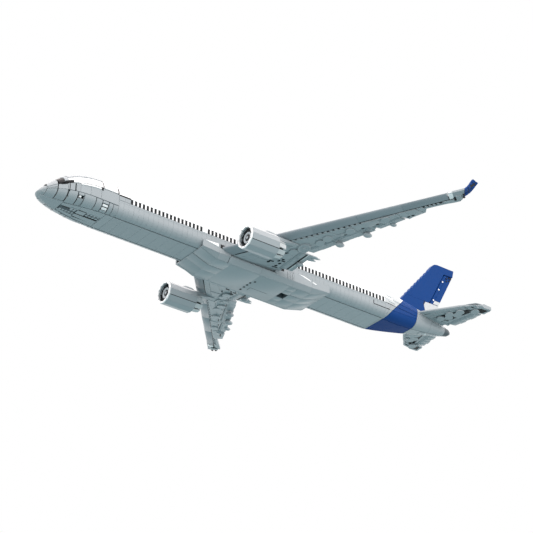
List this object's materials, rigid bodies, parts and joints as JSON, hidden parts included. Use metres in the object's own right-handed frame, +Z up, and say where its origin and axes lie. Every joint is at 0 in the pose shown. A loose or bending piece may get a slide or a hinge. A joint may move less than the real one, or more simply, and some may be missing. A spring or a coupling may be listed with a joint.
{
  "type": "desktop airliner model",
  "caption": "Brick-built airliner display model: inner spine, clip-on skins, hinged flaps, ailerons, elevators and rudder, turning engine fans and a belly socket for a stand.",
  "frame": {"origin": "middle of the stand socket's mouth, on the flat underside of the belly fairing", "axes": "+X aft along the fuselage, +Y to starboard, +Z up"},
  "size_m": [0.7535, 0.6186, 0.1717],
  "materials": {
    "grey_plastic": "satin moulded plastic",
    "white_plastic": "satin moulded plastic",
    "blue_plastic": "satin moulded plastic",
    "black_plastic": "gloss moulded plastic",
    "dark_grey_plastic": "satin moulded plastic"
  },
  "bodies": {
    "airframe": {"aft_cowl_port": "dark_grey_plastic", "aft_cowl_starboard": "dark_grey_plastic", "belly_panel_front": "grey_plastic", "belly_panel_rear": "grey_plastic", "bulkhead_front": "dark_grey_plastic", "bulkhead_nose": "dark_grey_plastic", "bulkhead_rear": "dark_grey_plastic", "bulkhead_tail": "dark_grey_plastic", "chin_panel": "grey_plastic", "cockpit_glazing": "black_plastic", "cockpit_roof": "white_plastic", "fairing_floor": "grey_plastic", "fairing_side_port": "grey_plastic", "fairing_side_starboard": "grey_plastic", "fin": "blue_plastic", "nacelle_port": "grey_plastic", "nacelle_starboard": "grey_plastic", "nose_bay_cover": "grey_plastic", "nose_side_port": "grey_plastic", "nose_side_starboard": "grey_plastic", "pylon_port": "grey_plastic", "pylon_starboard": "grey_plastic", "radome": "grey_plastic", "roof_front": "white_plastic", "roof_rear": "white_plastic", "side_panel_front_port": "grey_plastic", "side_panel_front_starboard": "grey_plastic", "side_panel_rear_port": "grey_plastic", "side_panel_rear_starboard": "grey_plastic", "spine_beam": "dark_grey_plastic", "stabiliser_port": "grey_plastic", "stabiliser_starboard": "grey_plastic", "tail_band": "blue_plastic", "tail_collar": "white_plastic", "tail_cone": "grey_plastic", "tail_tip": "dark_grey_plastic", "window_band_port": "white_plastic", "window_band_starboard": "white_plastic", "window_glazing_port": "black_plastic", "window_glazing_starboard": "black_plastic", "wing_carry_through": "dark_grey_plastic", "wing_leading_edge_port": "dark_grey_plastic", "wing_leading_edge_starboard": "dark_grey_plastic", "wing_panel_port": "grey_plastic", "wing_panel_starboard": "grey_plastic", "winglet_port": "blue_plastic", "winglet_starboard": "blue_plastic"},
    "fan_port": {"fan_port": "black_plastic", "fan_axle_port": "dark_grey_plastic"},
    "flap_inboard_port": {"flap_inboard_port": "grey_plastic"},
    "flap_outboard_port": {"flap_outboard_port": "grey_plastic"},
    "aileron_port": {"aileron_port": "grey_plastic"},
    "elevator_port": {"elevator_port": "grey_plastic"},
    "fan_starboard": {"fan_starboard": "black_plastic", "fan_axle_starboard": "dark_grey_plastic"},
    "flap_inboard_starboard": {"flap_inboard_starboard": "grey_plastic"},
    "flap_outboard_starboard": {"flap_outboard_starboard": "grey_plastic"},
    "aileron_starboard": {"aileron_starboard": "grey_plastic"},
    "elevator_starboard": {"elevator_starboard": "grey_plastic"},
    "rudder": {"rudder": "blue_plastic"}
  },
  "joints": [
    {"name": "fan_port_spin", "type": "hinge", "parent": "airframe", "child": "fan_port", "pos_m": [-0.13503, -0.099, 0.00236], "axis": [1, 0, 0], "continuous": true},
    {"name": "flap_inboard_port_hinge", "type": "hinge", "parent": "airframe", "child": "flap_inboard_port", "pos_m": [-0.03473, -0.0428, 0.01691], "axis": [-0.1147, 0.9782, -0.1731], "range_deg": [0, 30]},
    {"name": "flap_outboard_port_hinge", "type": "hinge", "parent": "airframe", "child": "flap_outboard_port", "pos_m": [-0.02755, -0.0916, 0.02555], "axis": [-0.4818, 0.8629, -0.1527], "range_deg": [0, 30]},
    {"name": "aileron_port_hinge", "type": "hinge", "parent": "airframe", "child": "aileron_port", "pos_m": [0.02503, -0.1806, 0.0413], "axis": [-0.4592, 0.8747, -0.1548], "range_deg": [-20, 20]},
    {"name": "elevator_port_hinge", "type": "hinge", "parent": "airframe", "child": "elevator_port", "pos_m": [0.3105, -0.02, 0.04808], "axis": [-0.242, 0.9679, -0.0678], "range_deg": [-20, 20]},
    {"name": "fan_starboard_spin", "type": "hinge", "parent": "airframe", "child": "fan_starboard", "pos_m": [-0.13503, 0.099, 0.00236], "axis": [1, 0, 0], "continuous": true},
    {"name": "flap_inboard_starboard_hinge", "type": "hinge", "parent": "airframe", "child": "flap_inboard_starboard", "pos_m": [-0.03473, 0.0428, 0.01691], "axis": [0.1147, 0.9782, 0.1731], "range_deg": [0, 30]},
    {"name": "flap_outboard_starboard_hinge", "type": "hinge", "parent": "airframe", "child": "flap_outboard_starboard", "pos_m": [-0.02755, 0.0916, 0.02555], "axis": [0.4818, 0.8629, 0.1527], "range_deg": [0, 30]},
    {"name": "aileron_starboard_hinge", "type": "hinge", "parent": "airframe", "child": "aileron_starboard", "pos_m": [0.02503, 0.1806, 0.0413], "axis": [0.4592, 0.8747, 0.1548], "range_deg": [-20, 20]},
    {"name": "elevator_starboard_hinge", "type": "hinge", "parent": "airframe", "child": "elevator_starboard", "pos_m": [0.3105, 0.02, 0.04808], "axis": [0.242, 0.9679, 0.0678], "range_deg": [-20, 20]},
    {"name": "rudder_hinge", "type": "hinge", "parent": "airframe", "child": "rudder", "pos_m": [0.291, 0, 0.0822], "axis": [0.4758, 0, 0.8795], "range_deg": [-25, 25]}
  ]
}
